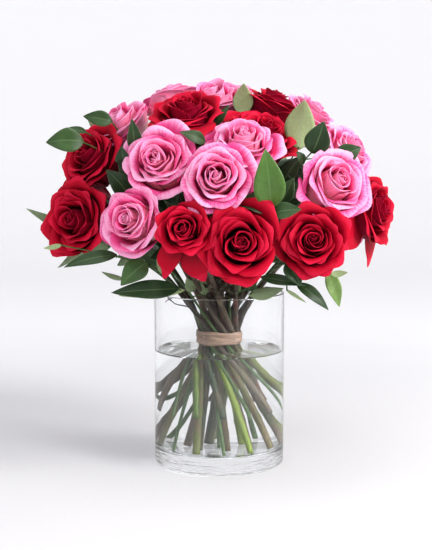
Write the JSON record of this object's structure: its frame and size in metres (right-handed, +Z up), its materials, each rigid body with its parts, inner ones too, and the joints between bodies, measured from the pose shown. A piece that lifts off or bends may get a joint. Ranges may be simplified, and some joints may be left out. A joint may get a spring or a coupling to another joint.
{
  "type": "rose bouquet in a vase",
  "caption": "Hand-tied dome of red and pink roses with ruscus, standing in a clear cylinder vase of water.",
  "frame": {"origin": "centre of the vase's underside", "axes": "+Z up along the vase's axis, -Y towards the front of the bouquet, +X to its right seen from the front"},
  "size_m": [0.4083, 0.3774, 0.4411],
  "materials": {
    "clear_glass": "clear polished glass",
    "water": "clear still water",
    "raffia": "dry matt palm fibre",
    "red_petals": "velvety crimson petals",
    "pink_petals": "satin pink petals with pale rims",
    "rose_stem": "smooth green bark with a few nodes",
    "ruscus": "dark waxy leaves",
    "calyx": "matt green sepals"
  },
  "bodies": {
    "root": {"pink_rose_01": "pink_petals", "pink_rose_01_stem": "rose_stem", "pink_rose_02": "pink_petals", "pink_rose_02_stem": "rose_stem", "pink_rose_03": "pink_petals", "pink_rose_03_stem": "rose_stem", "pink_rose_04": "pink_petals", "pink_rose_04_stem": "rose_stem", "pink_rose_05": "pink_petals", "pink_rose_05_stem": "rose_stem", "pink_rose_06": "pink_petals", "pink_rose_06_stem": "rose_stem", "pink_rose_07": "pink_petals", "pink_rose_07_stem": "rose_stem", "pink_rose_08": "pink_petals", "pink_rose_08_stem": "rose_stem", "pink_rose_09": "pink_petals", "pink_rose_09_stem": "rose_stem", "pink_rose_10": "pink_petals", "pink_rose_10_stem": "rose_stem", "pink_rose_11": "pink_petals", "pink_rose_11_stem": "rose_stem", "pink_rose_12": "pink_petals", "pink_rose_12_stem": "rose_stem", "raffia_tie": "raffia", "red_rose_01": "red_petals", "red_rose_01_stem": "rose_stem", "red_rose_02": "red_petals", "red_rose_02_stem": "rose_stem", "red_rose_03": "red_petals", "red_rose_03_stem": "rose_stem", "red_rose_04": "red_petals", "red_rose_04_stem": "rose_stem", "red_rose_05": "red_petals", "red_rose_05_stem": "rose_stem", "red_rose_06": "red_petals", "red_rose_06_stem": "rose_stem", "red_rose_07": "red_petals", "red_rose_07_stem": "rose_stem", "red_rose_08": "red_petals", "red_rose_08_stem": "rose_stem", "red_rose_09": "red_petals", "red_rose_09_stem": "rose_stem", "red_rose_10": "red_petals", "red_rose_10_stem": "rose_stem", "red_rose_11": "red_petals", "red_rose_11_stem": "rose_stem", "red_rose_12": "red_petals", "red_rose_12_stem": "rose_stem", "ruscus_sprig_1": "ruscus", "ruscus_sprig_2": "ruscus", "ruscus_sprig_3": "ruscus", "ruscus_sprig_4": "ruscus", "ruscus_sprig_5": "ruscus", "ruscus_sprig_6": "ruscus", "ruscus_sprig_7": "ruscus", "ruscus_sprig_8": "ruscus", "ruscus_sprig_9": "ruscus", "vase": "clear_glass", "water": "water"}
  },
  "joints": []
}
